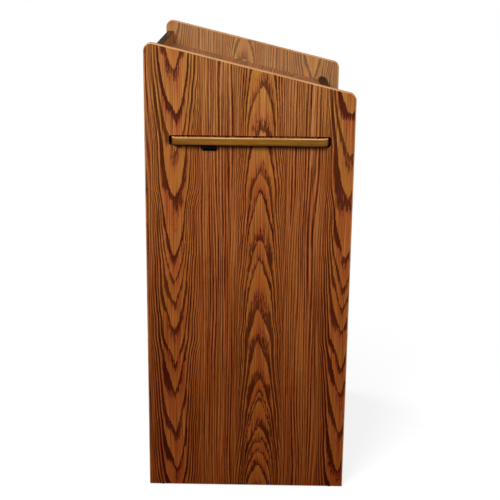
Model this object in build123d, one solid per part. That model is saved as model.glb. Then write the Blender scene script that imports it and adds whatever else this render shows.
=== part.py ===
"""Floor-standing presentation lectern with a pull-out side shelf.

Millimetres. +Z is up, -Y is the audience side, +Y is the speaker's side, and +X is the side with the
pull-out shelf. The pieces are drawn about the middle of the carcass, and written with the origin on the
floor under the centre of the whole lectern, its closed pull-out shelf included.
"""

from build123d import *

from math import atan2, cos, sin, tan
import os

# ---------------------------------------------------------------- driving dimensions
WIDTH = 677.0  # over the two side panels, along X
DEPTH = 520.0  # of a side panel, along Y
FRONT_HEIGHT = 1188.0  # of a side panel's audience edge, before its corner is rounded
BACK_HEIGHT = 1064.0  # of a side panel's speaker edge, before its corner is rounded
BOARD = 19.0  # laminated particle board
CORNER_RADIUS = 19.0  # of a side panel's two top corners
FOOT = 3.0  # height of a floor glide, and of the boards above the floor

CAP = 2.5  # cap of the T-moulding that covers a board's edge
CAP_ROUND = 1.6  # rounding of the cap's two long arrises
TONGUE = 7.0  # how far the moulding's tongue goes into the board
TONGUE_THICK = 2.4

FRONT_INSET = 4.0  # audience panel, behind the side panels' front edges
FRONT_TOP = 1152.0  # top of the audience panel
SURFACE_DROP = 67.0  # reading surface below the side panels' top edges, measured upright
SURFACE_END = 199.0  # Y where the reading surface stops
STOP_THICK = 22.0  # paper stop along the slope
STOP_RISE = 12.0  # paper stop above the reading surface

SHELF_Z = 937.0  # underside of the pull-out shelf
SHELF_WIDTH = 386.0
SHELF_LENGTH = 560.0
SHELF_CENTRE_Y = 1.0
SHELF_PROUD = 15.0  # pull-out shelf in front of the side panel's face
SHELF_CORNER = 16.0
SLOT_WIDTH = 400.0
SLOT_BELOW = 4.0  # slot below the shelf
SLOT_ABOVE = 3.0  # slot above the shelf
SLOT_CORNER = 6.0

DECK_BACK = 235.0  # Y of the speaker-side edge of the fixed boards
BASE_TOP = 79.0
SHELF_PIN_ROW = (-190.0, 180.0)  # Y of the shelf-pin holes
PIN_PITCH = 32.0
PIN_HOLES = 7
ADJUSTABLE_Z = 480.0  # underside of the adjustable shelf

LATCH_Y = -100.0
LATCH_WIDTH = 32.0  # of the latch's notch in the side panel
LATCH_DROP = 7.0  # travel of the latch's neck in its notch
TAB_WIDTH = 40.0  # of the tab that one presses, along Y
TAB_LOW = 925.0  # underside of the tab
TAB_X = (2.4, 7.0)  # back and face of the tab, from the side panel's face
TAB_CORNER = 4.5

# ---------------------------------------------------------------- worked-out dimensions
SLOPE = atan2(FRONT_HEIGHT - BACK_HEIGHT, DEPTH)
HALF_W, HALF_D = WIDTH / 2, DEPTH / 2
INNER = HALF_W - BOARD  # X of a side panel's inner face
FRONT_OUT = -HALF_D + FRONT_INSET  # outer face of the audience panel
FRONT_IN = FRONT_OUT + BOARD
SHELF_TOP = SHELF_Z + BOARD
SLOT_LOW, SLOT_HIGH = SHELF_Z - SLOT_BELOW, SHELF_TOP + SLOT_ABOVE
DECK_TOP = SLOT_LOW + 1.0
DECK_Z = DECK_TOP - BOARD
BASE_Z = BASE_TOP - BOARD
SHELF_FRONT = HALF_W + SHELF_PROUD
SHELF_TAIL = SHELF_FRONT - SHELF_LENGTH
SHELF_Y = (SHELF_CENTRE_Y - SHELF_WIDTH / 2, SHELF_CENTRE_Y + SHELF_WIDTH / 2)

GUIDE_WALL = 2.5
GUIDE_GAP = 0.5  # running clearance between the shelf and its guides
GUIDE_FLANGE = 12.0
GUIDE_X = (-225.0, INNER - 3.0)

TOOTH_X = 305.0  # centre of the latch's tooth
TOOTH = (10.0, 12.0, 3.5)  # along X, along Y, above the shelf's underside
GROOVE = (352.0, 14.0, 5.0)  # stop groove: length, width and depth
LATCH_PIVOT = (258.0, 924.0)  # X and Z
LATCH_PIN_R = 2.0
NECK = (928.0, 932.0)  # Z of the latch's neck where it passes the side panel
LATCH_NOTCH_Z = NECK[0] - LATCH_DROP - 0.5

CAM_R, CAM_DEEP, CAM_INSET = 7.5, 13.0, 34.0
DOWEL_R, DOWEL_LONG = 4.0, 30.0
PIN_R = 2.5
GLIDE_R = 6.5


def rim_z(y):
    """Height of the side panels' sloping top edge at y."""
    return (FRONT_HEIGHT + BACK_HEIGHT) / 2 - y * tan(SLOPE)


def surface_z(y):
    """Height of the reading surface at y."""
    return rim_z(y) - SURFACE_DROP


def block(x0, x1, y0, y1, z0, z1):
    """Box between two opposite corners."""
    return Pos((x0 + x1) / 2, (y0 + y1) / 2, (z0 + z1) / 2) * Box(x1 - x0, y1 - y0, z1 - z0)


def slab(outline, x0, x1):
    """A (Y, Z) sketch extruded from x0 to x1."""
    return extrude(Plane.YZ.offset(x0) * outline, amount=x1 - x0, dir=(1, 0, 0))


def strip(outline, y0, y1):
    """An (X, Z) sketch extruded from y0 to y1."""
    return extrude(Plane.XZ.offset(-y0) * outline, amount=y1 - y0, dir=(0, 1, 0))


def rod(radius, start, end):
    """Cylinder between two points."""
    axis = Vector(*end) - Vector(*start)
    return Plane(origin=start, z_dir=axis) * Cylinder(
        radius, axis.length, align=(Align.CENTER, Align.CENTER, Align.MIN)
    )


def screw(place, length, radius=1.9, head=3.8, sunk=False, driven=True):
    """Wood screw down -Z of place: its head sits on the plane, or is sunk flush with it."""
    depth = head * 0.6
    tip = Pos(0, 0, -length) * Cone(0.2, radius, 2 * radius, align=(Align.CENTER, Align.CENTER, Align.MAX))
    if sunk:
        shank = Pos(0, 0, -depth) * Cylinder(
            radius, length - depth, align=(Align.CENTER, Align.CENTER, Align.MAX)
        )
        top = Cone(radius, head, depth, align=(Align.CENTER, Align.CENTER, Align.MAX))
        face = 0.0
    else:
        shank = Cylinder(radius, length, align=(Align.CENTER, Align.CENTER, Align.MAX))
        top = Cylinder(head, depth, align=(Align.CENTER, Align.CENTER, Align.MIN))
        top = fillet(top.edges().group_by(Axis.Z)[-1], depth * 0.45)
        face = depth
    whole = shank + tip + top
    if driven:
        whole -= Pos(0, 0, face) * (Box(head * 1.1, 0.9, 2.0) + Box(0.9, head * 1.1, 2.0))
    return place * whole


def fix(places, *size, **kind):
    """Screws at the places, and the same screws without their cross recesses, to cut holes with."""
    made = [screw(place, *size, **kind) for place in places]
    return made, [screw(place, *size, driven=False, **kind) for place in places]


def union(shapes):
    """One compound that holds every shape of a list."""
    return Compound(children=[s for shape in shapes for s in shape.solids()])


def less(shape, cutters):
    """A solid with each cutter taken out of it."""
    return shape - list(cutters)


# ---------------------------------------------------------------- T-mouldings
def side_outline(inset):
    """A side panel's outline in (Y, Z), with every edge but the bottom one moved in by inset."""
    front, back = -HALF_D + inset, HALF_D - inset
    drop = inset / cos(SLOPE)
    corners = [(front, FOOT), (back, FOOT), (back, rim_z(back) - drop), (front, rim_z(front) - drop)]
    sketch = Polygon(*corners, align=None)
    return fillet([v for v in sketch.vertices() if v.Y > FOOT + 1], CORNER_RADIUS - inset)


def side_board(x0):
    """Side panel's board and its edge moulding, both plain, with the inner or outer face at x0."""
    middle = x0 + BOARD / 2
    outer = slab(side_outline(0), x0, x0 + BOARD)
    arrises = [
        e
        for e in outer.edges()
        if e.bounding_box().size.X < 1e-3 and e.bounding_box().max.Z > FOOT + 1
    ]
    core = slab(side_outline(CAP), x0, x0 + BOARD)
    ring = side_outline(CAP) - side_outline(CAP + TONGUE)
    tongue = slab(ring, middle - TONGUE_THICK / 2, middle + TONGUE_THICK / 2)
    return core - tongue, fillet(arrises, CAP_ROUND) - core + tongue


def straight_moulding(x0, x1, y, z0, z1, toward):
    """T-moulding along X for a board edge whose finished face is at y, for a board from z0 to z1."""
    cap = block(x0, x1, min(y, y - toward * CAP), max(y, y - toward * CAP), z0, z1)
    face = cap.faces().sort_by(Axis.Y)[-1 if toward > 0 else 0]
    cap = fillet([e for e in face.edges() if e.bounding_box().size.X > 1], CAP_ROUND)
    root, tip = y - toward * CAP, y - toward * (CAP + TONGUE)
    middle = (z0 + z1) / 2
    tongue = block(
        x0, x1, min(root, tip), max(root, tip), middle - TONGUE_THICK / 2, middle + TONGUE_THICK / 2
    )
    return cap + tongue


def shelf_outline(inset):
    """The pull-out shelf's outline in (X, Y), with the front and the two sides moved in by inset."""
    sketch = Polygon(
        (SHELF_TAIL, SHELF_Y[0] + inset),
        (SHELF_FRONT - inset, SHELF_Y[0] + inset),
        (SHELF_FRONT - inset, SHELF_Y[1] - inset),
        (SHELF_TAIL, SHELF_Y[1] - inset),
        align=None,
    )
    return fillet([v for v in sketch.vertices() if v.X > 0], SHELF_CORNER - inset)


# ---------------------------------------------------------------- fasteners
def cam_places():
    """Corner joints: (X sign, Y, Z of the bolt, which way the cam's mouth faces)."""
    places = []
    for side in (-1, 1):
        for z in (DECK_Z + BOARD / 2, BASE_Z + BOARD / 2):
            places += [(side, y, z, "down") for y in (-186.0, 165.0)]
        places += [(side, FRONT_OUT + BOARD / 2, z, "back") for z in (180.0, 560.0, 880.0, 1070.0)]
    return places


def cam_bolt(side, y, z):
    """Bolt from inside a cam, out of the board's end and into the side panel."""
    inside = side * (INNER - CAM_INSET - 4.0)
    return rod(3.5, (inside, y, z), (side * INNER, y, z)) + rod(
        2.5, (side * INNER, y, z), (side * (INNER + 11.0), y, z)
    )


def cam_lock(side, y, z, mouth, bolt):
    """Cam that draws a bolt in, with a cross slot in its face."""
    x = side * (INNER - CAM_INSET)
    if mouth == "down":
        face = Plane(origin=(x, y, z - BOARD / 2), z_dir=(0, 0, -1))
    else:
        face = Plane(origin=(x, y + BOARD / 2, z), z_dir=(0, 1, 0))
    body = Cylinder(CAM_R, CAM_DEEP, align=(Align.CENTER, Align.CENTER, Align.MAX))
    slot = Box(9.0, 1.6, 4.0) + Box(1.6, 9.0, 4.0)
    return face * body, face * (body - slot) - bolt


def dowel_places():
    """Dowelled corner joints: (X sign, Y, Z)."""
    places = []
    for side in (-1, 1):
        for y in (-30.0, 115.0):
            places += [(side, y, DECK_Z + BOARD / 2), (side, y, BASE_Z + BOARD / 2)]
        places += [(side, FRONT_OUT + BOARD / 2, z) for z in (130.0, 720.0)]
        places += [(side, RAIL_Y + BOARD / 2, DECK_TOP + 27.0), (side, KICK_Y + BOARD / 2, 34.0)]
    return places


def dowel(side, y, z):
    """Glued beech dowel, half in each board."""
    pin = rod(DOWEL_R, (side * (INNER - DOWEL_LONG / 2), y, z), (side * (INNER + DOWEL_LONG / 2 - 2), y, z))
    return chamfer(pin.edges(), 0.8)


def shelf_pin(side, y):
    """Steel shelf pin: a peg in the side panel, a collar, and a stub that the shelf rests on."""
    z = ADJUSTABLE_Z - PIN_R
    peg = rod(PIN_R, (side * (INNER + 9.0), y, z), (side * (INNER - 9.0), y, z))
    return peg + rod(PIN_R, (side * INNER, y, z), (side * (INNER - 1.2), y, z))


def pin_holes():
    """Rows of holes for the shelf pins, both sides, a few places above and below the shelf."""
    holes = []
    for side in (-1, 1):
        for y in SHELF_PIN_ROW:
            for step in range(PIN_HOLES):
                z = ADJUSTABLE_Z - PIN_R + (step - PIN_HOLES // 2) * PIN_PITCH
                holes.append(rod(PIN_R, (side * (INNER - 1), y, z), (side * (INNER + 9.0), y, z)))
    return holes


def glide(x, y):
    """Nylon floor glide with a nail that goes up into the side panel."""
    foot = Pos(x, y, FOOT / 2) * Cylinder(GLIDE_R, FOOT)
    foot = fillet(foot.edges().group_by(Axis.Z)[0], 1.0)
    return foot + rod(1.4, (x, y, FOOT), (x, y, FOOT + 16.0))


# ---------------------------------------------------------------- reading surface
def slope_frame(y, depth=0.0):
    """Plane on the reading surface at y, or depth below it: its X runs down the slope, its Z off it."""
    down = Vector(0, cos(SLOPE), -sin(SLOPE))
    off = Vector(0, sin(SLOPE), cos(SLOPE))
    return Plane(origin=Vector(0, y, surface_z(y)) - off * depth, x_dir=down, z_dir=off)


RAIL_Y = SHELF_Y[1] + GUIDE_GAP + GUIDE_WALL + 1.0  # audience face of the rear rail
KICK_Y = DECK_BACK - BOARD  # audience face of the kick rail


def reading_board():
    """Sloping board from the audience panel to the paper stop."""
    upright = BOARD / cos(SLOPE)
    end_y = SURFACE_END - BOARD * sin(SLOPE)
    outline = Polygon(
        (FRONT_IN, surface_z(FRONT_IN)),
        (SURFACE_END, surface_z(SURFACE_END)),
        (end_y, surface_z(SURFACE_END) - BOARD * cos(SLOPE)),
        (FRONT_IN, surface_z(FRONT_IN) - upright),
        align=None,
    )
    return slab(outline, -INNER, INNER)


def paper_stop():
    """Strip across the low end of the reading surface, a little higher than it."""
    strip = Box(STOP_THICK, 2 * INNER, BOARD + STOP_RISE, align=(Align.MIN, Align.CENTER, Align.MIN))
    top = strip.faces().sort_by(Axis.Z)[-1]
    strip = fillet([e for e in top.edges() if e.bounding_box().size.Y > 30], 5.0)
    low = strip.edges().filter_by(Axis.Y).group_by(Axis.Z)[0].sort_by(Axis.X)[-1]
    return slope_frame(SURFACE_END, BOARD) * fillet(low, 3.0)


def paper_stop_screws():
    """Four countersunk screws from the speaker's side through the stop into the reading surface."""
    frame = slope_frame(SURFACE_END, BOARD / 2)
    places = []
    for x in (-255.0, -85.0, 85.0, 255.0):
        centre = frame.origin + frame.x_dir * STOP_THICK + Vector(x, 0, 0)
        places.append(Plane(origin=centre, x_dir=(1, 0, 0), z_dir=frame.x_dir))
    return fix(places, 48.0, 2.2, 4.2, sunk=True)


CLEAT = 22.0
CLEAT_Y = (-205.0, 150.0)


def side_cleat(side):
    """Batten on a side panel that carries the reading surface."""
    low = (BOARD + CLEAT) / cos(SLOPE)
    high = BOARD / cos(SLOPE)
    outline = Polygon(
        (CLEAT_Y[0], surface_z(CLEAT_Y[0]) - high),
        (CLEAT_Y[1], surface_z(CLEAT_Y[1]) - high),
        (CLEAT_Y[1], surface_z(CLEAT_Y[1]) - low),
        (CLEAT_Y[0], surface_z(CLEAT_Y[0]) - low),
        align=None,
    )
    x0, x1 = sorted((side * INNER, side * (INNER - CLEAT)))
    return slab(outline, x0, x1)


def front_cleat():
    """Batten on the audience panel under the high end of the reading surface."""
    back = FRONT_IN + CLEAT
    upright = BOARD / cos(SLOPE)
    outline = Polygon(
        (FRONT_IN, surface_z(FRONT_IN) - upright),
        (back, surface_z(back) - upright),
        (back, surface_z(back) - upright - CLEAT),
        (FRONT_IN, surface_z(back) - upright - CLEAT),
        align=None,
    )
    return slab(outline, -(INNER - CLEAT - 20), INNER - CLEAT - 20)


def cleat_screws():
    """Screws from the cleats into the side panels, the audience panel and the reading surface."""
    places = []
    for y in (-170.0, -30.0, 110.0):
        frame = slope_frame(y, BOARD + CLEAT)
        for side in (-1, 1):
            z = surface_z(y) - (BOARD + CLEAT / 2) / cos(SLOPE)
            places.append(Plane(origin=(side * (INNER - CLEAT), y, z), z_dir=(-side, 0, 0)))
            spot = slope_frame(y + 45.0, BOARD + CLEAT).origin + Vector(side * (INNER - CLEAT / 2), 0, 0)
            places.append(Plane(origin=spot, x_dir=(1, 0, 0), z_dir=frame.z_dir * -1))
    z = surface_z(FRONT_IN + CLEAT) - BOARD / cos(SLOPE) - CLEAT / 2
    for x in (-200.0, 0.0, 200.0):
        places.append(Plane(origin=(x, FRONT_IN + CLEAT, z), z_dir=(0, 1, 0)))
    return fix(places, 34.0)


# ---------------------------------------------------------------- pull-out shelf
def shelf_parts():
    """The pull-out shelf's board and the moulding round its front and sides."""
    outer = extrude(Pos(0, 0, SHELF_Z) * shelf_outline(0), amount=BOARD)
    arrises = [
        e
        for e in outer.edges()
        if e.bounding_box().size.Z < 1e-3 and e.bounding_box().max.X > SHELF_TAIL + 1
    ]
    core = extrude(Pos(0, 0, SHELF_Z) * shelf_outline(CAP), amount=BOARD)
    ring = shelf_outline(CAP) - shelf_outline(CAP + TONGUE)
    tongue = extrude(Pos(0, 0, SHELF_Z + (BOARD - TONGUE_THICK) / 2) * ring, amount=TONGUE_THICK)
    end = TOOTH_X + TOOTH[0] / 2 + 1.0
    groove = block(
        end - GROOVE[0],
        end,
        LATCH_Y - GROOVE[1] / 2,
        LATCH_Y + GROOVE[1] / 2,
        SHELF_Z - 1,
        SHELF_Z + GROOVE[2],
    )
    return core - tongue - groove, fillet(arrises, CAP_ROUND) - core + tongue


def guide(side):
    """Channel that an edge of the shelf slides in: side -1 is the audience's, 1 the speaker's."""
    edge = SHELF_Y[0] - GUIDE_GAP if side < 0 else SHELF_Y[1] + GUIDE_GAP
    out = edge + side * GUIDE_WALL
    tip = edge - side * (GUIDE_FLANGE - GUIDE_WALL)
    low, high = SHELF_Z - GUIDE_GAP, SHELF_TOP + GUIDE_GAP
    outline = Polygon(
        (out, low - GUIDE_WALL),
        (tip, low - GUIDE_WALL),
        (tip, low),
        (edge, low),
        (edge, high),
        (tip, high),
        (tip, high + GUIDE_WALL),
        (out, high + GUIDE_WALL),
        align=None,
    )
    return slab(outline, *GUIDE_X)


def guide_screws():
    """Countersunk screws through the guides' lower flanges into the deck."""
    z = SHELF_Z - GUIDE_GAP
    places = []
    for y in (SHELF_Y[0] + 4.5, SHELF_Y[1] - 4.5):
        places += [Plane(origin=(x, y, z), z_dir=(0, 0, 1)) for x in (-200.0, -45.0, 110.0, 262.0)]
    return fix(places, 16.0, 1.6, 3.2, sunk=True)


def kick_screws():
    """Countersunk screws down through the base panel into the kick rail."""
    y = KICK_Y + BOARD / 2
    places = [Plane(origin=(x, y, BASE_TOP), z_dir=(0, 0, 1)) for x in (-210.0, 0.0, 210.0)]
    return fix(places, 45.0, 2.2, 4.2, sunk=True)


BUMPER = 4.0
STOP_X = SHELF_TAIL - BUMPER  # face of the tail stop that the bumpers sit on


def tail_stop():
    """Block on the deck that the shelf closes against."""
    bar = block(STOP_X - BOARD, STOP_X, -110.0, 110.0, DECK_TOP, SHELF_TOP - 1.0)
    return chamfer(bar.edges().filter_by(Axis.Y).group_by(Axis.Z)[-1], 2.0)


def tail_screws():
    """Countersunk screws down through the tail stop into the deck."""
    x, z = STOP_X - BOARD / 2, SHELF_TOP - 1.0
    return fix([Plane(origin=(x, y, z), z_dir=(0, 0, 1)) for y in (-50.0, 50.0)], 36.0, sunk=True)


def tail_bumpers():
    """Two rubber bumpers on the tail stop."""
    z = SHELF_Z + BOARD / 2
    found = []
    for y in (-80.0, 80.0):
        pad = rod(6.0, (STOP_X, y, z), (SHELF_TAIL - 0.3, y, z))
        found.append(fillet(pad.edges().group_by(Axis.X)[-1], 1.5))
    return found


# ---------------------------------------------------------------- stop latch
EAR = 3.0
PLATE = 3.0
LEVER_HALF = LATCH_WIDTH / 2 - 1.0
LATCH_CUT = (240.0, LATCH_WIDTH / 2 + 4.0)  # where the deck's cut-out starts, and half its width
SPRING_X, SPRING_R, SPRING_WIRE, SPRING_TURNS = 285.0, 3.6, 0.9, 4


def latch_bracket():
    """Pressed steel bracket under the deck: a plate with two ears that hold the pivot pin."""
    x, z = LATCH_PIVOT
    half = LATCH_CUT[1] + 14.0
    plate = block(x - 30, x + 50, LATCH_Y - half, LATCH_Y + half, DECK_Z - PLATE, DECK_Z)
    plate = fillet(plate.edges().filter_by(Axis.Z), 5.0)
    for side in (-1, 1):
        y0, y1 = sorted((LATCH_Y + side * (LEVER_HALF + 0.5), LATCH_Y + side * (LEVER_HALF + 0.5 + EAR)))
        ear = block(x - 7, x + 7, y0, y1, DECK_Z - 1, z) + rod(7.0, (x, y0, z), (x, y1, z))
        plate += ear
    return plate


def latch_pin():
    """Pivot pin across the bracket's ears, with a small head at each end."""
    x, z = LATCH_PIVOT
    half = LEVER_HALF + 0.5 + EAR
    pin = rod(LATCH_PIN_R, (x, LATCH_Y - half - 0.8, z), (x, LATCH_Y + half + 0.8, z))
    for side in (-1, 1):
        pin += rod(3.2, (x, LATCH_Y + side * half, z), (x, LATCH_Y + side * (half + 0.8), z))
    return pin


def latch_lever():
    """Thumb lever: a hub, an arm through the side panel's notch, a tooth and the tab one presses."""
    x, z = LATCH_PIVOT
    low, high = LATCH_Y - LEVER_HALF, LATCH_Y + LEVER_HALF
    hub = rod(5.0, (x, low, z), (x, high, z))
    outline = Polygon(
        (x - 3.0, z + 4.0),
        (INNER - 6.0, NECK[1]),
        (HALF_W + TAB_X[0] + 1.0, NECK[1]),
        (HALF_W + TAB_X[0] + 1.0, NECK[0]),
        (INNER - 8.0, NECK[0]),
        (x + 2.0, z - 3.0),
        align=None,
    )
    arm = strip(outline, low, high)
    length, width, rise = TOOTH
    ramp = Polygon(
        (TOOTH_X - length / 2, NECK[0]),
        (TOOTH_X + length / 2, NECK[0]),
        (TOOTH_X + length / 2, SHELF_Z + 0.6),
        (TOOTH_X + length / 2 - 4.0, SHELF_Z + rise),
        (TOOTH_X - length / 2, SHELF_Z + rise),
        align=None,
    )
    tooth = strip(ramp, LATCH_Y - width / 2, LATCH_Y + width / 2)
    lever = hub + arm + tooth + latch_tab()
    return lever - rod(LATCH_PIN_R + 0.06, (x, low - 1, z), (x, high + 1, z))


def latch_tab():
    """Tab outside the side panel, with rounded lower corners and a rounded face."""
    half = TAB_WIDTH / 2
    outline = Polygon(
        (LATCH_Y - half, TAB_LOW),
        (LATCH_Y + half, TAB_LOW),
        (LATCH_Y + half, NECK[1]),
        (LATCH_Y - half, NECK[1]),
        align=None,
    )
    low_corners = outline.vertices().group_by(Axis.Y)[0]
    outline = fillet(low_corners, TAB_CORNER)
    tab = slab(outline, HALF_W + TAB_X[0], HALF_W + TAB_X[1])
    return fillet(tab.faces().sort_by(Axis.X)[-1].edges(), 1.2)


def latch_spring():
    """Compression spring between the bracket's plate and the lever's arm."""
    height = lever_under(SPRING_X) - DECK_Z - SPRING_WIRE
    coil = Helix(pitch=height / SPRING_TURNS, height=height, radius=SPRING_R)
    start = coil.position_at(0)
    profile = Plane(origin=start, z_dir=coil.tangent_at(0)) * Circle(SPRING_WIRE / 2)
    return Pos(SPRING_X, LATCH_Y, DECK_Z + SPRING_WIRE / 2) * sweep(profile, path=coil, is_frenet=True)


def lever_under(x):
    """Height of the underside of the lever's arm at x, between its hub and its neck."""
    x0, z0 = LATCH_PIVOT[0] + 2.0, LATCH_PIVOT[1] - 3.0
    x1, z1 = INNER - 8.0, NECK[0]
    return z0 + (z1 - z0) * (x - x0) / (x1 - x0)


def latch_screws():
    """Four screws that hold the bracket to the deck's underside."""
    half = LATCH_CUT[1] + 7.0
    places = []
    for x in (LATCH_PIVOT[0] - 22.0, LATCH_PIVOT[0] + 42.0):
        for side in (-1, 1):
            places.append(Plane(origin=(x, LATCH_Y + side * half, DECK_Z - PLATE), z_dir=(0, 0, -1)))
    return fix(places, 15.0, 1.6, 3.2)


# ---------------------------------------------------------------- assembly
def main():
    os.makedirs("parts", exist_ok=True)
    out = {}

    bolts = [cam_bolt(side, y, z) for side, y, z, _ in cam_places()]
    pockets, cams = zip(*[cam_lock(*place, bolt) for place, bolt in zip(cam_places(), bolts)])
    dowels = [dowel(*place) for place in dowel_places()]
    pins = [shelf_pin(side, y) for side in (-1, 1) for y in SHELF_PIN_ROW]
    glides = [glide(side * (HALF_W - BOARD / 2), y) for side in (-1, 1) for y in (-225.0, 225.0)]
    joinery = list(pockets) + bolts + dowels
    cleat_fixings, cleat_holes = cleat_screws()
    stop_fixings, stop_holes = paper_stop_screws()
    guide_fixings, guide_holes = guide_screws()
    latch_fixings, latch_holes = latch_screws()
    kick_fixings, kick_holes = kick_screws()
    tail_fixings, tail_holes = tail_screws()

    slotted, slotted_moulding = side_board(INNER)
    plain, plain_moulding = side_board(-HALF_W)
    slot = RectangleRounded(SLOT_WIDTH, SLOT_HIGH - SLOT_LOW, SLOT_CORNER)
    slot = Pos(SHELF_CENTRE_Y, (SLOT_LOW + SLOT_HIGH) / 2) * slot
    slotted -= slab(slot, INNER - 1, HALF_W + 1)
    half = LATCH_WIDTH / 2 + 1.0
    slotted -= block(INNER - 1, HALF_W + 1, LATCH_Y - half, LATCH_Y + half, LATCH_NOTCH_Z, SLOT_LOW + 8)
    into_sides = bolts + dowels + pins + glides + pin_holes() + cleat_holes
    for name, board, sign in (("side_panel_slotted", slotted, 1), ("side_panel_plain", plain, -1)):
        near = [c for c in into_sides if c.bounding_box().center().X * sign > 240]
        out[name] = less(board, near)
    out["side_moulding_slotted"] = slotted_moulding
    out["side_moulding_plain"] = plain_moulding

    front = block(-INNER, INNER, FRONT_OUT, FRONT_IN, FOOT, FRONT_TOP - CAP)
    front_moulding = Rot(90, 0, 0) * straight_moulding(-INNER, INNER, FRONT_TOP, -FRONT_IN, -FRONT_OUT, 1)
    out["front_panel"] = less(front - front_moulding, joinery + cleat_holes)
    out["front_top_moulding"] = front_moulding

    out["reading_surface"] = less(reading_board(), cleat_holes + stop_holes)
    out["paper_stop"] = less(paper_stop(), stop_holes)
    out["paper_stop_screws"] = union(stop_fixings)
    out["reading_cleats"] = union([less(side_cleat(s), cleat_holes) for s in (-1, 1)])
    out["front_cleat"] = less(front_cleat(), cleat_holes)
    out["cleat_screws"] = union(cleat_fixings)

    deck = block(-INNER, INNER, FRONT_IN, DECK_BACK - CAP, DECK_Z, DECK_TOP)
    deck_moulding = straight_moulding(-INNER, INNER, DECK_BACK, DECK_Z, DECK_TOP, 1)
    deck -= block(
        LATCH_CUT[0], INNER + 1, LATCH_Y - LATCH_CUT[1], LATCH_Y + LATCH_CUT[1], DECK_Z - 1, DECK_TOP + 1
    )
    out["slide_deck"] = less(deck - deck_moulding, joinery + guide_holes + latch_holes + tail_holes)
    out["deck_edge_moulding"] = deck_moulding

    rail_top = surface_z(SURFACE_END + STOP_THICK * cos(SLOPE)) - BOARD / cos(SLOPE) - 1.0
    rail = block(-INNER, INNER, RAIL_Y, RAIL_Y + BOARD, DECK_TOP, rail_top)
    out["rear_rail"] = less(rail, dowels)
    kick = block(-INNER, INNER, KICK_Y, KICK_Y + BOARD, FOOT, BASE_Z)
    out["kick_rail"] = less(kick, dowels + kick_holes)
    base = block(-INNER, INNER, FRONT_IN, DECK_BACK - CAP, BASE_Z, BASE_TOP)
    base_moulding = straight_moulding(-INNER, INNER, DECK_BACK, BASE_Z, BASE_TOP, 1)
    out["base_panel"] = less(base - base_moulding, joinery + kick_holes)
    out["base_edge_moulding"] = less(base_moulding, kick_holes)

    shelf_x, shelf_back = INNER - 1.5, DECK_BACK - 10.0
    lift = ADJUSTABLE_Z
    adjustable = block(-shelf_x, shelf_x, FRONT_IN + 1.5, shelf_back - CAP, lift, lift + BOARD)
    moulding = straight_moulding(-shelf_x, shelf_x, shelf_back, lift, lift + BOARD, 1)
    out["adjustable_shelf"] = adjustable - moulding
    out["adjustable_shelf_moulding"] = moulding

    out["pull_out_shelf"], out["pull_out_shelf_moulding"] = shelf_parts()
    out["shelf_guide_front"] = less(guide(-1), guide_holes)
    out["shelf_guide_rear"] = less(guide(1), guide_holes)
    out["guide_screws"] = union(guide_fixings)
    out["tail_stop"] = less(tail_stop(), tail_holes)
    out["tail_bumpers"] = union(tail_bumpers())
    out["kick_screws"] = union(kick_fixings)
    out["tail_stop_screws"] = union(tail_fixings)

    out["latch_bracket"] = less(latch_bracket(), latch_holes + [latch_pin()])
    out["latch_pin"] = latch_pin()
    out["latch_lever"] = latch_lever()
    out["latch_spring"] = latch_spring()
    out["latch_screws"] = union(latch_fixings)

    out["floor_glides"] = union(glides)
    out["cam_locks"] = union(cams)
    out["cam_bolts"] = union(bolts)
    out["wood_dowels"] = union(dowels)
    out["shelf_pins"] = union(pins)

    centred = Pos(-SHELF_PROUD / 2, 0, 0)
    for name, shape in out.items():
        export_step(centred * union([shape]), f"parts/{name}.step")


main()
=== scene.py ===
"""Looks for the presentation lectern: laminate, mouldings, plastics and metals, light and camera."""

import math
import bpy
from mathutils import Matrix, Vector


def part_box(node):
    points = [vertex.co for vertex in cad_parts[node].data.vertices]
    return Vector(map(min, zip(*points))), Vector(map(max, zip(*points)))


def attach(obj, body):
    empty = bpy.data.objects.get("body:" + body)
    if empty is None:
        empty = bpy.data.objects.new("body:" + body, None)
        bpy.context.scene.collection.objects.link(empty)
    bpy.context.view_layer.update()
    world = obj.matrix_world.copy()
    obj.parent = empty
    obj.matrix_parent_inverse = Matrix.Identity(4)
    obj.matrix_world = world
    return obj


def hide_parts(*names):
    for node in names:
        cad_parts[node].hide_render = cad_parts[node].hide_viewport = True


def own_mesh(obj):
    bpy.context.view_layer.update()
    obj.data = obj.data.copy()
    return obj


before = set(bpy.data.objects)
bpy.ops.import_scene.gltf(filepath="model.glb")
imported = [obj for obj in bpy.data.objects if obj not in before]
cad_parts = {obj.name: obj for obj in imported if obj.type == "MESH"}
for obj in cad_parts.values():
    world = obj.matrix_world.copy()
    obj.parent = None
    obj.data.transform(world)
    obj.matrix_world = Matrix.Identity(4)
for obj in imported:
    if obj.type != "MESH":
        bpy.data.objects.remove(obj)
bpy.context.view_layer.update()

# ---------------------------------------------------------------- wood figure, in metres
# Noise counts in its own steps, so a number that multiplies a coordinate for it is steps in a metre.
PERIOD = 0.431  # the laminate's printed figure repeats this often across the grain
DOWN_AXIS = -0.185  # Y of a crown whose arches point down
TIP_ROUND = 0.006  # how round an arch's tip is
TOP_ROUND = 0.022  # how round the highest upward arches are
FLANK_SLOPE = 14.0  # how much steeper an arch's flanks are than its tip
KNEE_ROUND = 0.010  # over what width the tip's slope turns into the flank's
LEFT_FALL = (2.6, 0.036)  # a downward arch's left side: the tip's slope, and where the flank starts
RIGHT_FALL = (3.2, 0.027)  # its right side
UP_FALL = (2.5, 0.033)  # both sides of an upward arch
STRIPES = 142.0  # straight grain lines in a metre, between the crowns
CROWN_SIDE = (0.045, 0.075)  # a crown fades into straight grain between these distances from its axis
PRINT_LENGTH = 1.2  # length of the figure that the tips below describe
DOWN_TIPS = (0.05, 0.155, 0.27, 0.344, 0.44, 0.513, 0.57, 0.643, 0.795, 0.9, 1.0, 1.12)
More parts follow.
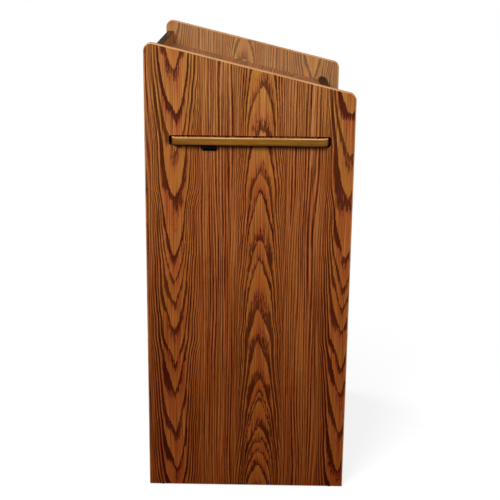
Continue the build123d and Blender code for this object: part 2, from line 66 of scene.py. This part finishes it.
UP_TIPS = (
    0.067, 0.115, 0.15, 0.185, 0.252, 0.275, 0.318, 0.424, 0.514, 0.642, 0.705, 0.818, 0.877, 0.985,
    1.08, 1.17,
)


def rgb(red, green, blue):
    """Linear colour of an sRGB one given in 0 to 255."""
    out = []
    for c in (red, green, blue):
        c = c / 255
        out.append(c / 12.92 if c <= 0.04045 else ((c + 0.055) / 1.055) ** 2.4)
    return (*out, 1.0)


class Graph:
    """Short ways to add shader nodes to one tree."""

    def __init__(self, tree):
        self.tree = tree

    def node(self, kind, **settings):
        made = self.tree.nodes.new("ShaderNode" + kind)
        for name, value in settings.items():
            setattr(made, name, value)
        return made

    def put(self, value, socket):
        """Links an output to a socket, or sets the socket's number, vector or colour."""
        if isinstance(value, bpy.types.NodeSocket):
            self.tree.links.new(value, socket)
        else:
            socket.default_value = value

    def math(self, operation, a, b=0.0, c=0.0, clamp=False):
        made = self.node("Math", operation=operation, use_clamp=clamp)
        for value, socket in zip((a, b, c), made.inputs):
            self.put(value, socket)
        return made.outputs[0]

    def add(self, a, b):
        return self.math("ADD", a, b)

    def sub(self, a, b):
        return self.math("SUBTRACT", a, b)

    def mul(self, a, b):
        return self.math("MULTIPLY", a, b)

    def vector(self, x=0.0, y=0.0, z=0.0):
        made = self.node("CombineXYZ")
        for value, socket in zip((x, y, z), made.inputs):
            self.put(value, socket)
        return made.outputs[0]

    def axes(self, vector):
        made = self.node("SeparateXYZ")
        self.put(vector, made.inputs[0])
        return made.outputs

    def place(self):
        """The piece's own coordinates, in metres."""
        return self.node("TexCoord").outputs["Object"]

    def noise(self, x=0.0, y=0.0, z=0.0, detail=2.0, rough=0.5):
        """Noise from 0 to 1 at a point given in noise units."""
        made = self.node("TexNoise", noise_dimensions="3D")
        self.put(self.vector(x, y, z), made.inputs["Vector"])
        made.inputs["Scale"].default_value = 1.0
        made.inputs["Detail"].default_value = detail
        made.inputs["Roughness"].default_value = rough
        return made.outputs["Fac"]

    def spread(self, noise, low, high):
        """Stretches noise about its middle, so that it runs from low to high."""
        return self.range(noise, 0.3, 0.7, low, high)

    def range(self, value, from_low, from_high, to_low=0.0, to_high=1.0, smooth=True):
        made = self.node("MapRange", interpolation_type="SMOOTHSTEP" if smooth else "LINEAR")
        for item, socket in zip((value, from_low, from_high, to_low, to_high), made.inputs):
            self.put(item, socket)
        return made.outputs[0]

    def mix(self, share, a, b, blend="MIX"):
        made = self.node("Mix", data_type="RGBA", blend_type=blend)
        self.put(share, made.inputs["Factor"])
        self.put(a, made.inputs["A"])
        self.put(b, made.inputs["B"])
        return made.outputs["Result"]

    def blend(self, share, a, b):
        """Number between a and b."""
        return self.add(self.mul(self.sub(1.0, share), a), self.mul(share, b))

    def curve(self, value, points):
        made = self.node("FloatCurve")
        line = made.mapping.curves[0]
        for x, y in points[1:-1]:
            line.points.new(x, y)
        for spot, (x, y) in zip((line.points[0], line.points[-1]), (points[0], points[-1])):
            spot.location = (x, y)
        for spot in line.points:
            spot.handle_type = "AUTO"
        made.mapping.update()
        self.put(value, made.inputs["Value"])
        return made.outputs[0]

    def bump(self, height, distance, strength=1.0):
        made = self.node("Bump")
        made.inputs["Strength"].default_value = strength
        made.inputs["Distance"].default_value = distance
        self.put(height, made.inputs["Height"])
        return made.outputs["Normal"]


def group(name, inputs, outputs):
    """New node group with float inputs, its Graph, and its input and output nodes' sockets."""
    tree = bpy.data.node_groups.new(name, "ShaderNodeTree")
    for label in inputs:
        tree.interface.new_socket(label, in_out="INPUT", socket_type="NodeSocketFloat")
    for label, kind in outputs.items():
        tree.interface.new_socket(label, in_out="OUTPUT", socket_type=kind)
    start, end = tree.nodes.new("NodeGroupInput"), tree.nodes.new("NodeGroupOutput")
    return Graph(tree), start.outputs, end.inputs


def ring_count(g, reach, tips):
    """Number of the ring at reach along the grain: each tip starts a new one."""
    pitch = (tips[-1] - tips[0]) / (len(tips) - 1)
    most = 3.0  # rings that a tip may be away from an even pitch
    points = [(0.0, 0.5)]
    for i, tip in enumerate(tips):
        points.append((tip / PRINT_LENGTH, 0.5 + (i - (tip - tips[0]) / pitch) / (2 * most)))
    points.append((1.0, 0.5))
    wander = g.curve(g.math("DIVIDE", reach, PRINT_LENGTH, clamp=True), points)
    steady = g.mul(g.sub(reach, tips[0]), 1 / pitch)
    return g.add(steady, g.mul(g.sub(wander, 0.5), 2 * most))


def arch_fall(g, u, slope, knee, roundness=TIP_ROUND):
    """How far an arch falls below its tip, u metres to the side."""

    def hypot(a, b):
        return g.math("SQRT", g.math("MULTIPLY_ADD", a, a, g.mul(b, b)))

    past = g.sub(u, knee)
    tip = g.mul(g.sub(hypot(u, roundness), roundness), slope)
    return g.add(tip, g.mul(g.add(past, hypot(past, KNEE_ROUND)), FLANK_SLOPE / 2))


def wood_group():
    """The laminate's printed figure: crowns that point up and down in turn, straight grain between."""
    g, given, result = group(
        "wood_figure",
        ("across", "along", "depth"),
        {"Color": "NodeSocketColor", "Height": "NodeSocketFloat", "Dark": "NodeSocketFloat"},
    )
    across, along, depth = given[0], given[1], given[2]
    # the figure wanders sideways
    sway = g.spread(g.noise(g.mul(across, 4.0), g.mul(along, 1.6), depth), -0.004, 0.004)
    x = g.add(across, sway)
    phase = g.math("WRAP", g.sub(x, DOWN_AXIS), PERIOD / 2, -PERIOD / 2)
    from_down = g.math("ABSOLUTE", phase)
    from_up = g.sub(PERIOD / 2, from_down)
    aside = g.math("MINIMUM", from_down, from_up)
    is_up = g.math("GREATER_THAN", from_down, from_up)
    crown = g.range(aside, *CROWN_SIDE, 1.0, 0.0)

    def streaks(fine, long, seed=0.0, detail=2.0, rough=0.5):
        """Noise drawn out along the grain: fine steps in a metre across it, long steps along it."""
        return g.noise(g.mul(x, fine), g.mul(along, long), g.add(depth, seed), detail, rough)

    fray = streaks(560.0, 34.0, rough=0.6)

    # the crowns' rings
    lump = g.spread(streaks(34.0, 6.0), -0.010, 0.010)
    z = g.add(along, g.add(lump, g.spread(fray, -0.004, 0.004)))
    is_right = g.math("GREATER_THAN", phase, 0.0)
    down_fall = [g.blend(is_right, left, right) for left, right in zip(LEFT_FALL, RIGHT_FALL)]
    # upward arches near the foot have blunter tips
    blunt = g.range(along, 0.05, 0.5, 0.6, 1.0)
    # some arches are narrower
    narrow = g.spread(g.noise(0.0, g.mul(along, 5.0), depth), 0.85, 1.2)
    down_reach = g.sub(z, g.mul(arch_fall(g, from_down, *down_fall), narrow))
    roundness = g.range(along, 0.85, 1.05, TIP_ROUND, TOP_ROUND)
    up_fall = arch_fall(g, from_up, g.mul(blunt, UP_FALL[0]), UP_FALL[1], roundness)
    up_reach = g.add(z, g.mul(up_fall, narrow))
    count = g.blend(is_up, ring_count(g, down_reach, DOWN_TIPS), ring_count(g, up_reach, UP_TIPS))
    part = g.math("FRACT", count)
    outward = g.blend(is_up, g.sub(1.0, part), part)
    # one random number for each ring
    chance = g.noise(g.mul(g.math("FLOOR", count), 7.31), g.mul(is_up, 4.0), depth, 0.0)
    # near a crown's axis the dark lines swell and thin out in patches
    patch = g.spread(streaks(30.0, 16.0, 3.0), 0.55, 1.6)
    blot = g.blend(g.range(aside, 0.022, 0.045), patch, 1.0)
    # a downward crown's left side has heavier lines
    heavy = g.mul(g.range(phase, -0.05, -0.012, 1.0, 0.0), g.range(from_down, 0.05, 0.085, 1.0, 0.0))
    # the share of a ring that its dark line takes
    width = g.mul(g.range(aside, 0.006, 0.035, 0.25, 0.5), g.add(blot, g.mul(heavy, 0.3)))
    width = g.mul(width, g.blend(is_up, 1.0, g.range(along, 0.35, 0.6, 1.3, 1.0)))
    frayed = g.add(outward, g.mul(g.spread(fray, -0.22, 0.22), g.range(aside, 0.01, 0.045, 1.0, 0.3)))
    core = g.range(frayed, g.mul(width, 0.7), g.mul(width, 1.15), 1.0, 0.0)
    dark = g.mul(g.mul(core, g.range(outward, 0.0, 0.03)), g.mul(g.spread(chance, 0.85, 1.0), crown))

    # the straight grain's stripes
    stripe = g.add(g.mul(x, STRIPES), g.spread(streaks(16.0, 1.0, 11.0), -1.1, 1.1))
    edge = g.math("PINGPONG", stripe, 0.5)
    # how dark a stripe is differs from the next one's, and changes slowly along it
    vary = g.noise(g.mul(g.math("FLOOR", stripe), 5.17), g.mul(along, 2.2), g.add(depth, 2.0), 1.0)
    fine = streaks(620.0, 3.5, 5.0, rough=0.6)
    hazy = streaks(46.0, 3.0, 7.0)
    frayed_edge = g.add(edge, g.spread(fray, -0.07, 0.07))
    groove = g.mul(g.range(frayed_edge, 0.2, 0.3), g.spread(vary, 0.55, 1.0))
    glow = g.mul(g.range(frayed_edge, 0.18, 0.08), g.range(streaks(90.0, 1.0, 4.0), 0.36, 0.54))

    # the colours, which painted shade makes darker and redder towards the foot and a painted sheen makes
    # paler and bluer at the top
    ochre = rgb(171, 113, 44)
    tan = rgb(202, 140, 82)
    red = rgb(156, 74, 36)
    rose = rgb(160, 76, 42)
    brown = rgb(142, 68, 22)
    line = rgb(48, 4, 0)
    plum = rgb(60, 14, 4)
    cover = 0.92  # how far the dark lines hide the wood under them
    hue = g.math("ADD", g.spread(hazy, 0.0, 0.7), g.spread(chance, -0.3, 0.4), clamp=True)
    rings = g.mix(hue, ochre, red)
    rings = g.mix(g.mul(g.range(outward, 0.5, 0.97), 0.5), rings, ochre)
    rings = g.mix(g.range(outward, 0.25, 0.8, 0.5, 0.0), rings, rose)
    ink = g.mix(g.mul(g.range(aside, 0.012, 0.04, 1.0, 0.0), g.spread(patch, 0.3, 1.0)), line, plum)
    straight = g.mix(g.spread(hazy, 0.0, 0.6), g.mix(g.spread(vary, 0.0, 0.8), ochre, red), brown)
    straight = g.mix(g.mul(glow, 0.5), straight, tan)
    straight = g.mix(g.mul(groove, cover), straight, line)
    color = g.mix(g.sub(1.0, crown), rings, straight)
    color = g.mix(g.range(fine, 0.52, 0.66, 0.0, 0.6), color, tan)
    color = g.mix(g.range(fine, 0.48, 0.36, 0.0, 0.55), color, line)
    color = g.mix(g.mul(dark, cover), color, ink)
    # short dark pores
    pore = g.range(streaks(2600.0, 70.0, detail=1.0), 0.66, 0.74)
    color = g.mix(g.mul(pore, 0.4), color, line)
    # painted light: painted shade darkens and reddens the colour towards the foot, and a painted sheen makes
    # it paler and bluer at the top
    foot, middle, top = (0.88, 0.54, 0.36, 1.0), (1.0, 0.82, 0.82, 1.0), (1.03, 1.08, 1.25, 1.0)
    painted_light_falloff = g.mix(g.range(along, 0.0, 0.85, smooth=False), foot, middle)
    painted_light_falloff = g.mix(g.range(along, 0.8, 1.15), painted_light_falloff, top)
    color = g.mix(1.0, color, painted_light_falloff, "MULTIPLY")

    g.put(color, result["Color"])
    g.put(g.sub(0.6, g.add(g.mul(pore, 0.6), g.mul(dark, 0.2))), result["Height"])
    g.put(dark, result["Dark"])
    return g.tree


def surface(name, roughness=0.5, specular=0.5, coat=0.0, coat_roughness=0.1, metallic=0.0):
    """New material with a Principled shader: its Graph and its shader."""
    material = bpy.data.materials.new(name)
    material.use_nodes = True
    tree = material.node_tree
    shader = tree.nodes["Principled BSDF"]
    shader.inputs["Roughness"].default_value = roughness
    shader.inputs["Specular IOR Level"].default_value = specular
    shader.inputs["Coat Weight"].default_value = coat
    shader.inputs["Coat Roughness"].default_value = coat_roughness
    shader.inputs["Metallic"].default_value = metallic
    return material, Graph(tree), shader


FIGURE = wood_group()


def laminate(name, across, along, shift, inward, depth):
    """Laminate whose grain runs along one axis, such as "z", with its figure moved by shift.

    inward is the side of its face that a painted sheen makes paler, an axis and a sign, or None. depth picks
    a part of the noise.
    """
    # colour and share of the painted sheen on the inward face
    painted_sheen, sheen_share = rgb(172, 142, 104), 0.26
    material, g, shader = surface(name, specular=0.08)
    xyz = dict(zip("xyz", g.axes(g.place())))
    figure = g.node("Group")
    figure.node_tree = FIGURE
    g.put(g.add(xyz[across], shift[0]), figure.inputs["across"])
    g.put(g.add(xyz[along], shift[1]), figure.inputs["along"])
    figure.inputs["depth"].default_value = depth
    color = figure.outputs["Color"]
    normal = dict(zip("xyz", g.axes(g.node("TexCoord").outputs["Normal"])))
    # painted sheen: the inward face is mixed towards a pale tan
    if inward:
        facing = normal[inward[0]]
        color = g.mix(g.range(g.mul(facing, inward[1]), 0.5, 0.9, 0.0, sheen_share), color, painted_sheen)
    thick = next(k for k in "xyz" if k not in (across, along))
    is_face = g.range(g.math("ABSOLUTE", normal[thick]), 0.45, 0.55)
    g.put(g.mix(is_face, board_core(g, xyz), color), shader.inputs["Base Color"])
    smear_pitch = 9.0  # steps in a metre
    smear = g.noise(*[g.mul(xyz[k], smear_pitch) for k in "xyz"], detail=3.0)
    g.put(g.add(g.spread(smear, 0.38, 0.48), g.mul(figure.outputs["Dark"], 0.06)), shader.inputs["Roughness"])
    g.put(g.bump(figure.outputs["Height"], 0.00015, 0.5), shader.inputs["Normal"])
    return material


def board_core(g, xyz):
    """Colour of a cut edge of the particle board under the laminate: chips of wood in all directions."""
    chip_pitch, dust_pitch = 420.0, 1300.0  # in a metre
    chips = g.node("TexVoronoi", feature="F1")
    g.put(g.vector(*[g.mul(xyz[k], chip_pitch) for k in "xyz"]), chips.inputs["Vector"])
    chips.inputs["Scale"].default_value = 1.0
    chip = g.axes(chips.outputs["Color"])[0]
    dust = g.noise(*[g.mul(xyz[k], dust_pitch) for k in "xyz"], detail=2.0)
    color = g.mix(chip, rgb(76, 48, 28), rgb(112, 78, 48))
    return g.mix(g.range(dust, 0.52, 0.7, 0.0, 0.7), color, rgb(66, 42, 24))


def grained_edge(name, light, mid, deep, thick, run, coat=0.2, arris=None, specular=0.2):
    """Edge moulding with grain along its length: thick is its thin axis, run the axes it runs along.

    arris is the heights of its lower edge, darkened by painted shade, and of its upper one, lightened by a
    painted highlight.
    """
    material, g, shader = surface(name, roughness=0.35, specular=specular, coat=coat, coat_roughness=0.12)
    xyz = dict(zip("xyz", g.axes(g.place())))
    run_pitch, wide_pitch, fine_pitch = 9.0, 260.0, 1500.0  # steps in a metre
    length = g.mul(sum_of(g, [xyz[k] for k in run]), run_pitch)
    wide = g.noise(g.mul(xyz[thick], wide_pitch), length, 1.0, 3.0)
    fine = g.noise(g.mul(xyz[thick], fine_pitch), g.mul(length, 3.0), 5.0, 2.0)
    color = g.mix(g.spread(wide, 0.0, 1.0), light, mid)
    color = g.mix(g.range(fine, 0.5, 0.72, 0.0, 0.8), color, deep)
    if arris:
        low, high = arris
        # painted shade darkens the lowest few millimetres above the lower edge, and a painted highlight
        # lightens the upper arris
        painted_lower_shade = g.range(xyz["z"], low + 0.006, low, 0.0, 0.75)
        wear_and_highlight = g.mul(g.range(xyz["z"], high - 0.0035, high - 0.001), g.spread(wide, 0.4, 1.0))
        color = g.mix(wear_and_highlight, g.mix(painted_lower_shade, color, deep), rgb(222, 184, 128))
    g.put(color, shader.inputs["Base Color"])
    g.put(g.spread(wide, 0.28, 0.4), shader.inputs["Roughness"])
    g.put(g.bump(fine, 0.0001, 0.4), shader.inputs["Normal"])
    return material


def sum_of(g, values):
    total = values[0]
    for value in values[1:]:
        total = g.add(total, value)
    return total


def plain_wood(name, light, dark, along):
    """Sanded solid timber with fine straight grain."""
    material, g, shader = surface(name, roughness=0.6, specular=0.3)
    xyz = dict(zip("xyz", g.axes(g.place())))
    long, fine = 12.0, 420.0  # steps in a metre along and across the grain
    scale = {k: long if k == along else fine for k in "xyz"}
    grain = g.noise(*[g.mul(xyz[k], scale[k]) for k in "xyz"], detail=4.0, rough=0.6)
    fleck = g.noise(*[g.mul(xyz[k], 3 * scale[k]) for k in "xyz"], detail=1.0)
    color = g.mix(g.spread(grain, 0.0, 1.0), light, dark)
    color = g.mix(g.range(fleck, 0.6, 0.72, 0.0, 0.6), color, dark)
    g.put(color, shader.inputs["Base Color"])
    g.put(g.spread(grain, 0.5, 0.68), shader.inputs["Roughness"])
    g.put(g.bump(grain, 0.0002, 0.5), shader.inputs["Normal"])
    return material


def moulded(name, base, wear_and_highlight, low, high, specular=0.5, pitch=900.0):
    """Moulded plastic or rubber: fine texture, faint lighter scuffs, roughness from low to high."""
    material, g, shader = surface(name, specular=specular)
    spot = [g.mul(k, pitch) for k in g.axes(g.place())]
    texture = g.noise(*spot, detail=2.0)
    scuff = g.noise(*[g.mul(k, 0.06) for k in spot], detail=4.0, rough=0.7)
    g.put(g.mix(g.range(scuff, 0.52, 0.72, 0.0, 0.7), base, wear_and_highlight), shader.inputs["Base Color"])
    g.put(g.spread(scuff, low, high), shader.inputs["Roughness"])
    g.put(g.bump(texture, 0.00006, 0.4), shader.inputs["Normal"])
    return material


def metal(name, base, stained, low, high):
    """Plated or cast metal with brushed lines and dull spots, its roughness from low to high."""
    material, g, shader = surface(name, metallic=1.0)
    x, y, z = g.axes(g.place())
    line_pitch, line_run, spot_pitch = 2500.0, 300.0, 160.0  # steps in a metre
    brushed = g.noise(g.mul(x, line_pitch), g.mul(y, line_pitch), g.mul(z, line_run), 3.0)
    dull = g.noise(*[g.mul(k, spot_pitch) for k in (x, y, z)], detail=3.0, rough=0.6)
    g.put(g.mix(g.spread(dull, 0.0, 1.0), base, stained), shader.inputs["Base Color"])
    g.put(g.spread(brushed, low, high), shader.inputs["Roughness"])
    g.put(g.bump(brushed, 0.00004, 0.3), shader.inputs["Normal"])
    return material


def dress(material, *nodes):
    """Gives a material to CAD nodes."""
    for name in nodes:
        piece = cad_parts[name]
        piece.data.materials.clear()
        piece.data.materials.append(material)


# ---------------------------------------------------------------- materials on the CAD nodes
# name: the axes across and along the grain, shift, face paled by painted sheen, depth in the noise, CAD nodes
laminates = {
    "slotted_side": ("y", "z", (0.0, 0.0), ("x", -1.0), 0.0, ["side_panel_slotted"]),
    "plain_side": ("y", "z", (0.06, 0.31), ("x", 1.0), 3.0, ["side_panel_plain"]),
    "front": ("x", "z", (0.06, 0.17), None, 6.0, ["front_panel"]),
    "slope": ("y", "x", (0.1, 0.4), ("z", 1.0), 9.0, ["reading_surface"]),
    "deck": ("y", "x", (0.25, 0.5), None, 13.0, ["slide_deck", "adjustable_shelf"]),
    "base": ("y", "x", (0.02, 0.6), None, 17.0, ["base_panel"]),
    "rails": ("z", "x", (0.2, 0.5), None, 19.0, ["rear_rail", "kick_rail"]),
    "pull_out": ("y", "x", (0.05, 0.38), None, 21.0, ["pull_out_shelf"]),
}
for name, (across, along, shift, inward, depth, nodes) in laminates.items():
    dress(laminate("laminate_" + name, across, along, shift, inward, depth), *nodes)

edge_colors = (rgb(206, 152, 100), rgb(184, 128, 80), rgb(128, 82, 46))
dark_edge = (rgb(46, 22, 11), rgb(30, 13, 6), rgb(14, 6, 3))
top_edge = (rgb(66, 42, 22), rgb(46, 27, 12), rgb(22, 10, 3))
oak_edge = (rgb(148, 100, 32), rgb(124, 76, 16), rgb(86, 44, 6))
side_moulding = grained_edge("side_moulding", *edge_colors, "x", "yz")
dress(side_moulding, "side_moulding_slotted", "side_moulding_plain")
dress(grained_edge("front_moulding", *top_edge, "y", "xz", 0.0, specular=0.05), "front_top_moulding")
dress(grained_edge("paper_stop_edge", *dark_edge, "z", "xy", 0.0, specular=0.05), "paper_stop")
shelf_moulding = grained_edge("shelf_mouldings", *edge_colors, "z", "xy")
dress(shelf_moulding, "deck_edge_moulding", "base_edge_moulding", "adjustable_shelf_moulding")
shelf_edges = [corner[2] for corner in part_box("pull_out_shelf_moulding")]
dress(grained_edge("pull_out_edge", *oak_edge, "z", "xy", 0.15, shelf_edges), "pull_out_shelf_moulding")

beech = (rgb(206, 168, 122), rgb(166, 122, 80))
dress(plain_wood("beech_battens", *beech, "y"), "reading_cleats", "tail_stop")
dress(plain_wood("beech_rods", *beech, "x"), "front_cleat", "wood_dowels")

nylon = moulded("black_nylon", rgb(30, 30, 32), rgb(58, 58, 60), 0.42, 0.58)
dress(nylon, "shelf_guide_front", "shelf_guide_rear", "floor_glides")
dress(moulded("black_gloss", rgb(4, 4, 4), rgb(10, 10, 10), 0.3, 0.42, 0.1), "latch_lever")
dress(moulded("black_rubber", rgb(26, 26, 26), rgb(44, 42, 40), 0.7, 0.85), "tail_bumpers")

zinc_plate = metal("zinc_plate", rgb(206, 204, 198), rgb(168, 166, 158), 0.22, 0.4)
dress(
    zinc_plate,
    "latch_bracket",
    "latch_pin",
    "latch_spring",
    "latch_screws",
    "guide_screws",
    "cleat_screws",
    "paper_stop_screws",
    "kick_screws",
    "tail_stop_screws",
    "cam_bolts",
    "shelf_pins",
)
dress(metal("die_cast_zinc", rgb(178, 178, 176), rgb(132, 132, 130), 0.34, 0.52), "cam_locks")


# ---------------------------------------------------------------- the latch's spring
COIL_CLEAR = 0.0006  # the arm's underside slopes, so the spring's flat top is this much lower
COIL_STEPS = 28  # points in one turn


def coil_spring(node, body, material, wire, turns, closed):
    """Compression spring in the place of a CAD node, with closed turns at each end.

    Its flat top ends COIL_CLEAR below the node's.
    """
    low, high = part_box(node)
    height = high[2] - low[2] - COIL_CLEAR
    radius = (high[0] - low[0] - wire) / 2
    x, y = (low[0] + high[0]) / 2, (low[1] + high[1]) / 2
    bottom, rise = low[2] + wire / 2, height - wire
    line = bpy.data.curves.new(node + "_coil", "CURVE")
    line.dimensions = "3D"
    line.bevel_depth = wire / 2
    line.bevel_resolution = 4
    line.use_fill_caps = True
    spline = line.splines.new("POLY")
    spline.points.add(int(turns * COIL_STEPS))
    for i, point in enumerate(spline.points):
        turn = i / COIL_STEPS
        open_share = min(max((turn - closed) / (turns - 2 * closed), 0.0), 1.0)
        closed_turns = min(turn, closed) + max(turn - (turns - closed), 0.0)
        z = bottom + wire * closed_turns + (rise - 2 * wire * closed) * open_share
        angle = 2 * math.pi * turn
        point.co = (x + radius * math.cos(angle), y + radius * math.sin(angle), z, 1.0)
    shaped = bpy.data.objects.new(node + "_line", line)
    bpy.context.scene.collection.objects.link(shaped)
    bpy.context.view_layer.update()
    mesh = bpy.data.meshes.new_from_object(shaped.evaluated_get(bpy.context.evaluated_depsgraph_get()))
    bpy.data.objects.remove(shaped)
    mesh.materials.clear()
    mesh.materials.append(material)
    mesh.polygons.foreach_set("use_smooth", [True] * len(mesh.polygons))
    piece = bpy.data.objects.new(node + "_coil", mesh)
    bpy.context.scene.collection.objects.link(piece)
    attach(piece, body)
    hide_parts(node)
    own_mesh(piece)


coil_spring(
    "latch_spring",
    "carcass",
    zinc_plate,
    wire=0.0009,
    turns=5.5,
    closed=0.75,
)


# ---------------------------------------------------------------- stage, light and camera
SENSOR = 36.0  # the camera's, in mm


def stage_floor(clear, gone, glow):
    """Pale floor that gives off some light and fades into the white background between two radii."""
    margin = 1.1  # the plane reaches this many times as far as it shows
    bpy.ops.mesh.primitive_plane_add(size=2 * margin * gone, location=(0, 0, 0))
    floor = bpy.context.object
    floor.name = "stage_floor"
    floor.visible_diffuse = False
    floor.visible_glossy = False
    material, g, shader = surface("pale_floor", roughness=0.8, specular=0.1)
    x, y, _ = g.axes(g.place())
    cloudy = g.noise(x, y, 0.0, 3.0)
    g.put(g.mix(cloudy, rgb(150, 150, 150), rgb(156, 156, 156)), shader.inputs["Base Color"])
    reach = g.math("SQRT", g.add(g.mul(x, x), g.mul(y, y)))
    g.put(g.range(reach, clear, gone, 1.0, 0.0), shader.inputs["Alpha"])
    shader.inputs["Emission Color"].default_value = (1.0, 1.0, 1.0, 1.0)
    shader.inputs["Emission Strength"].default_value = glow
    floor.data.materials.append(material)


def sky(seen, cast):
    """White background: seen is its brightness to the camera, cast the light that it gives."""
    world = bpy.data.worlds.new("studio")
    world.use_nodes = True
    g = Graph(world.node_tree)
    background = world.node_tree.nodes["Background"]
    background.inputs["Color"].default_value = (1.0, 1.0, 1.0, 1.0)
    g.put(g.blend(g.node("LightPath").outputs["Is Camera Ray"], cast, seen), background.inputs["Strength"])
    bpy.context.scene.world = world


def softbox(name, place, target, size, watts, cone=180.0):
    """Rectangular light at place, turned towards target, which shines within a cone in degrees."""
    light = bpy.data.lights.new(name, "AREA")
    light.shape = "RECTANGLE"
    light.size, light.size_y = size
    light.energy = watts
    light.spread = math.radians(cone)
    lamp = bpy.data.objects.new(name, light)
    lamp.location = place
    lamp.rotation_euler = (Vector(target) - Vector(place)).to_track_quat("-Z", "Y").to_euler()
    lamp.visible_camera = False
    bpy.context.scene.collection.objects.link(lamp)


def camera(place, yaw, pitch, roll, focal):
    """Camera that looks towards -X when yaw is 0, down by pitch, all in degrees; focal in image widths."""
    yaw, pitch, roll = (math.radians(a) for a in (yaw, pitch, roll))
    forward = Vector(
        (-math.cos(pitch) * math.cos(yaw), -math.cos(pitch) * math.sin(yaw), -math.sin(pitch))
    )
    right = forward.cross(Vector((0, 0, 1))).normalized()
    up = right.cross(forward)
    turned_right = math.cos(roll) * right + math.sin(roll) * up
    turned_up = math.cos(roll) * up - math.sin(roll) * right
    lens = bpy.data.cameras.new("camera")
    lens.sensor_width = SENSOR
    lens.lens = SENSOR * focal
    lens.clip_end = 100.0
    eye = bpy.data.objects.new("camera", lens)
    turn = Matrix((turned_right, turned_up, -forward)).transposed().to_4x4()
    eye.matrix_world = Matrix.Translation(place) @ turn
    bpy.context.scene.collection.objects.link(eye)
    bpy.context.scene.camera = eye


stage_floor(clear=0.45, gone=1.2, glow=0.78)
sky(seen=1.0, cast=0.14)
softbox("key", (2.1, -0.8, 2.5), target=(0.3, 0.0, 1.1), size=(1.2, 1.2), watts=23.0, cone=100.0)
softbox("recess", (0.22, -0.1, 2.2), target=(-0.32, 0.0, 1.05), size=(0.4, 0.8), watts=2.4, cone=120.0)
for name, place in {"speaker_side": (0.6, 2.8, 1.8), "audience_side": (-1.6, -2.2, 2.0)}.items():
    softbox(name, place, target=(0.0, 0.0, 0.6), size=(1.6, 1.6), watts=45.0)
camera((2.9996, 0.0293, 1.4550), yaw=0.5435, pitch=16.466, roll=0.658, focal=2.1925)
bpy.context.scene.view_settings.view_transform = "Standard"
